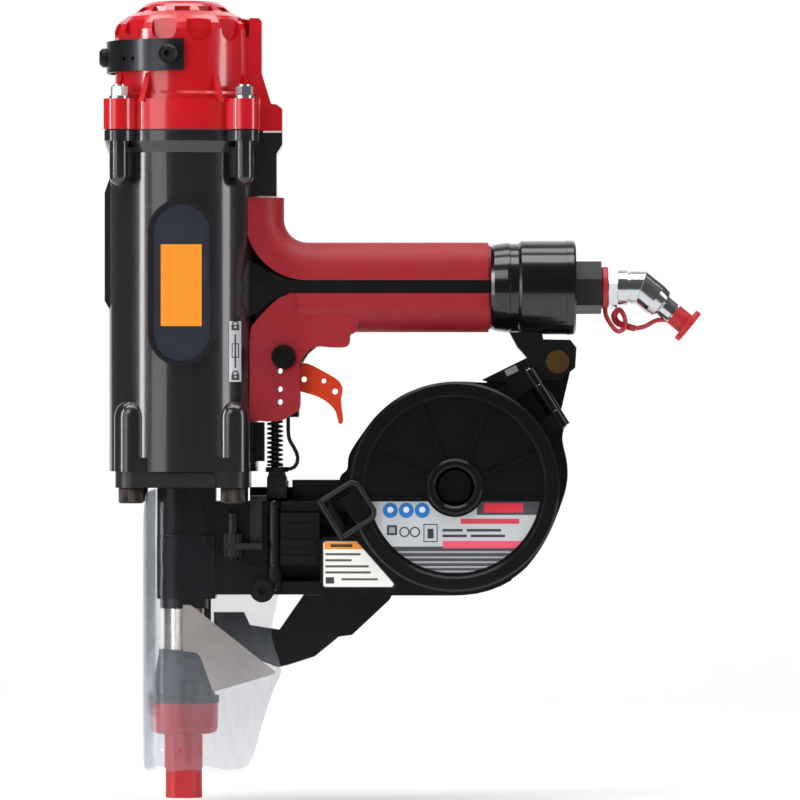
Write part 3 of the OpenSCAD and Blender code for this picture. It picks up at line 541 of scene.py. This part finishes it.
def knurled_bolts():
    """Four socket heads with straight knurling and a round recess."""
    bm = bmesh.new()
    circle = 35.7
    points = 88
    levels = ((154.98, 5.9, 0), (154.6, 6.25, 0.28), (148.0, 6.25, 0.28), (147.3, 5.6, 0), (147.3, 2.95, 0),
              (151.6, 2.9, 0))
    for corner in (45, 135, 225, 315):
        cx, cy = circle * math.cos(math.radians(corner)), circle * math.sin(math.radians(corner))
        loops = []
        for z, r, groove in levels:
            ring = []
            for t in range(points):
                a = 2 * math.pi * t / points
                reach = r - (groove if t % 2 else 0)
                x, y = cx + reach * math.cos(a), cy + reach * math.sin(a)
                ring.append(bm.verts.new((x * MM, y * MM, z * MM)))
            loops.append(ring)
        for a, b in zip(loops, loops[1:]):
            for t in range(points):
                bm.faces.new((a[t], a[(t + 1) % points], b[(t + 1) % points], b[t]))
        bm.faces.new(loops[0])
        bm.faces.new(loops[-1])
    heads = piece("nose_bolt_heads", bm, FINISH["bolt_oxide"], "tool")
    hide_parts("nose_bolts")


knurled_bolts()


def wire_bail():
    """The latch's round wire loop, lying over the cover's lug."""
    lean = Matrix.Rotation(math.radians(-32.1), 3, "Y")
    base = Vector((75.5, -36.4, 140.5))
    black = FINISH["wire_black"]
    half = [(-2, 10.2), (14.2, 10.2), (16.8, 9.6), (18.2, 8.0), (18.6, 6.0)]
    flat = [(x, -z) for x, z in half] + half[::-1]
    path = [(base + lean @ Vector((x, 0, z))) * MM for x, z in flat]
    wire = piece("latch_wire_loop", tube(spline(path, 6), 0.00130, 14), black, "latch")
    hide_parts("latch_wire")
    bar = [(base + lean @ Vector((-2, 0, z))) * MM for z in (-11.4, 11.4)]
    piece("latch_wire_axle", tube(bar, 0.0014, 14), black, "latch")


wire_bail()


# ---------- stage, camera and light ----------
def cyclorama():
    """A pale floor that bends up into a wall, which is clear from its far side."""
    floor, bend, start, radius, top = -0.004, 16, 1.0, 0.8, 4.0
    angles = [math.pi / 2 * k / bend for k in range(1, bend + 1)]
    profile = [(-1.0, floor), (start, floor)]
    profile += [(start + radius * math.sin(a), floor + radius * (1 - math.cos(a))) for a in angles]
    profile += [(start + radius, top)]
    bm = bmesh.new()
    rows = [[bm.verts.new((x, y, z)) for x in (-1.0, 1.2)] for y, z in profile]
    for a, b in zip(rows, rows[1:]):
        bm.faces.new((a[0], a[1], b[1], b[0]))
    mesh = bpy.data.meshes.new("floor")
    bm.to_mesh(mesh)
    bm.free()
    mesh.polygons.foreach_set("use_smooth", [True] * len(mesh.polygons))
    mat = bpy.data.materials.new("Pale studio paper")
    mat.use_nodes = True
    tree = mat.node_tree
    shader = tree.nodes["Principled BSDF"]
    shader.inputs["Base Color"].default_value = (0.93, 0.93, 0.93, 1)
    shader.inputs["Roughness"].default_value = 0.9
    side = put(tree, "ShaderNodeNewGeometry").outputs["Backfacing"]
    clear = put(tree, "ShaderNodeBsdfTransparent").outputs[0]
    both = put(tree, "ShaderNodeMixShader", {0: side, 1: shader.outputs[0], 2: clear})
    tree.links.new(both.outputs[0], tree.nodes["Material Output"].inputs["Surface"])
    mesh.materials.append(mat)
    thing = bpy.data.objects.new("floor", mesh)
    bpy.context.scene.collection.objects.link(thing)


def viewpoint():
    """A long lens, level with the tool's middle, facing the side with the labels."""
    lens = bpy.data.cameras.new("camera")
    lens.lens = 270
    lens.sensor_width = 36
    camera = bpy.data.objects.new("camera", lens)
    camera.location = (0.108, -3.0, 0.1985)
    camera.rotation_euler = (math.radians(90), 0, 0)
    bpy.context.scene.collection.objects.link(camera)
    bpy.context.scene.camera = camera


def lamp(name, place, target, size, power):
    """A rectangular soft light, turned towards its target."""
    data = bpy.data.lights.new(name, "AREA")
    data.shape = "RECTANGLE"
    data.size, data.size_y = size
    data.energy = power
    thing = bpy.data.objects.new(name, data)
    thing.location = place
    thing.rotation_euler = (Vector(target) - Vector(place)).to_track_quat("-Z", "Y").to_euler()
    bpy.context.scene.collection.objects.link(thing)


def surroundings():
    """A weak white fill light, seen by the camera as plain white."""
    world = bpy.data.worlds.new("world")
    world.use_nodes = True
    tree = world.node_tree
    fill = tree.nodes["Background"]
    fill.inputs["Color"].default_value = (1, 1, 1, 1)
    fill.inputs["Strength"].default_value = 0.10
    white = put(tree, "ShaderNodeBackground", values={"Color": (0.95, 0.95, 0.95, 1)})
    seen = put(tree, "ShaderNodeLightPath").outputs["Is Camera Ray"]
    either = put(tree, "ShaderNodeMixShader", {0: seen, 1: fill.outputs[0], 2: white.outputs[0]})
    tree.links.new(either.outputs[0], tree.nodes["World Output"].inputs["Surface"])
    bpy.context.scene.world = world


cyclorama()
viewpoint()
middle = (0.10, 0, 0.20)
lamp("left strip", (-1.15, -0.55, 0.40), middle, (0.18, 1.6), 12)
lamp("left panel", (-1.0, -1.35, 0.30), middle, (0.7, 1.5), 7)
lamp("right strip", (1.45, -0.55, 0.40), middle, (0.34, 1.6), 9)
lamp("front soft", (-0.7, -1.7, 1.5), middle, (0.9, 0.9), 10)
lamp("top soft", (0.1, -0.35, 1.5), middle, (1.6, 0.5), 13)
lamp("back", (0.1, 0.5, 2.2), (0.1, 1.6, 0.3), (3.2, 0.8), 29)
surroundings()
bpy.context.scene.view_settings.view_transform = "Standard"
